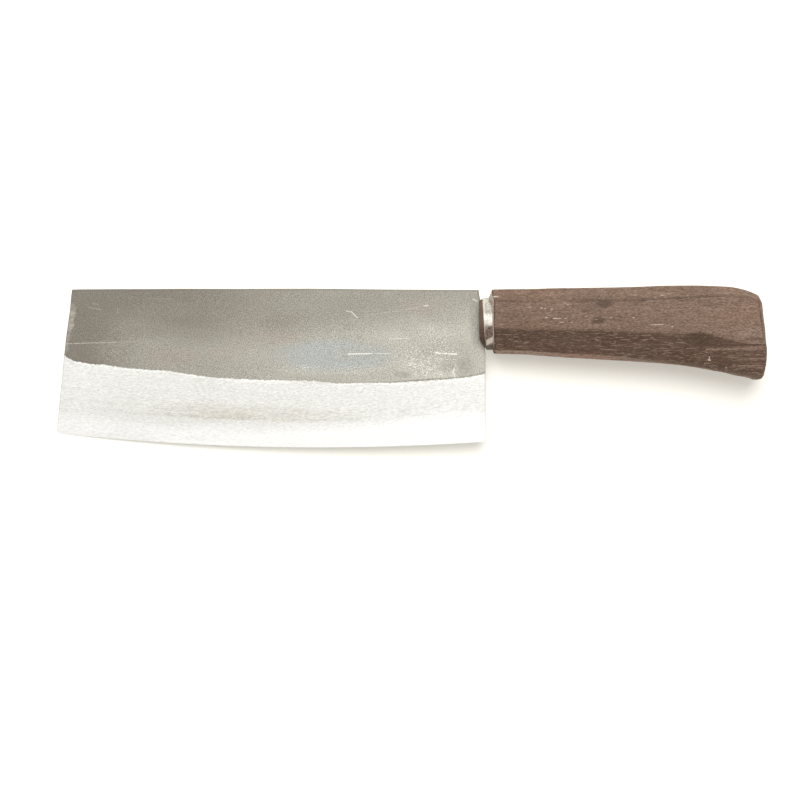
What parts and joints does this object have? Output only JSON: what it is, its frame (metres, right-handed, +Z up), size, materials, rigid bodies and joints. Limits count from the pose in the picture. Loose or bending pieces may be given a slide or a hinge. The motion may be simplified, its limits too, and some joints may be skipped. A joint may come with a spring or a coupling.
{
  "type": "kitchen cleaver",
  "caption": "Small rectangular kitchen cleaver: forged blade with dark scaled cheeks and a bright ground bevel, hidden stick tang, polished metal ferrule and flared hardwood handle.",
  "frame": {"origin": "bottom centre of the box of the cleaver as it lies on its side on a surface", "axes": "+X from the blade's front edge towards the handle's butt, +Y from the cutting edge towards the spine, +Z up off the surface; the blade dips 3.2 degrees towards its front edge and 1.5 degrees towards its cutting edge, because the handle is thicker than the blade"},
  "size_m": [0.3308, 0.0752, 0.0323],
  "materials": {
    "blade_steel": "carbon steel: matt warm-grey forge scale on the cheeks, bright satin ground bevel along the edge",
    "resin": "dark brown set resin",
    "ferrule_metal": "polished, slightly worn",
    "handle_wood": "unvarnished brown open-pored hardwood with fine light and dark pores along the grain"
  },
  "bodies": {
    "root": {"blade": "blade_steel", "tang_resin": "resin", "ferrule": "ferrule_metal", "handle": "handle_wood"}
  },
  "joints": []
}
